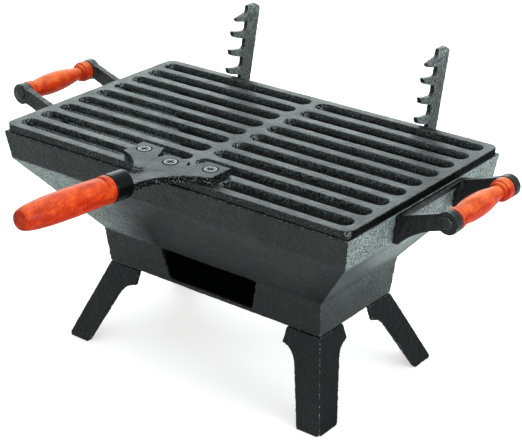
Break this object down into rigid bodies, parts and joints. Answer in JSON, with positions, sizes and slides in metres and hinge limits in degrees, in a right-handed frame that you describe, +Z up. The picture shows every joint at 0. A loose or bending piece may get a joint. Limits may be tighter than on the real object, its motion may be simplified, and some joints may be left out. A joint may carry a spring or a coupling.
{
  "type": "hibachi grill",
  "caption": "Tabletop cast-iron hibachi: stepped fire box on splayed angle legs, slotted grate with a bolted wooden handle, side grips and two toothed racks behind.",
  "frame": {"origin": "on the ground, at the centre of the whole grill's bounding box", "axes": "+Z up, +X along the long side of the grill towards the right-hand grip, -Y towards the front handle"},
  "size_m": [0.559, 0.488, 0.3179],
  "materials": {
    "box_paint": "satin heat-proof paint on sand-cast iron",
    "grate_iron": "semi-gloss black on sand-cast iron",
    "black_paint": "black paint on cast iron",
    "screw_steel": "zinc plated",
    "dark_steel": "blackened",
    "grip_wood": "orange-red lacquer on turned wood"
  },
  "bodies": {
    "stand": {"firebox": "box_paint", "left_bracket": "black_paint", "right_bracket": "black_paint", "left_bracket_screws": "dark_steel", "right_bracket_screws": "dark_steel", "left_rod": "dark_steel", "right_rod": "dark_steel", "leg_front_left": "black_paint", "leg_front_right": "black_paint", "leg_back_left": "black_paint", "leg_back_right": "black_paint", "leg_bolts": "dark_steel", "leg_nuts": "dark_steel", "rack_left": "black_paint", "rack_right": "black_paint", "rack_bolts": "dark_steel", "rack_nuts": "dark_steel"},
    "top_grate": {"cooking_grate": "grate_iron", "handle_plate": "grate_iron", "handle_plate_screws": "screw_steel", "handle_ferrule": "black_paint", "front_grip": "grip_wood"},
    "coal_grate": {"charcoal_grate": "grate_iron"},
    "grip_left": {"left_grip": "grip_wood"},
    "grip_right": {"right_grip": "grip_wood"}
  },
  "joints": [
    {"name": "cooking_grate_lift", "type": "slide", "parent": "stand", "child": "top_grate", "axis": [0, -0.9397, 0.342], "range_m": [0, 0.35]},
    {"name": "charcoal_grate_lift", "type": "slide", "parent": "stand", "child": "coal_grate", "axis": [0, 0, 1], "range_m": [0, 0.06]},
    {"name": "left_grip_spin", "type": "hinge", "parent": "stand", "child": "grip_left", "pos_m": [-0.268, 0.0694, 0.24], "axis": [0, 1, 0], "continuous": true},
    {"name": "right_grip_spin", "type": "hinge", "parent": "stand", "child": "grip_right", "pos_m": [0.268, 0.0694, 0.24], "axis": [0, 1, 0], "continuous": true}
  ]
}
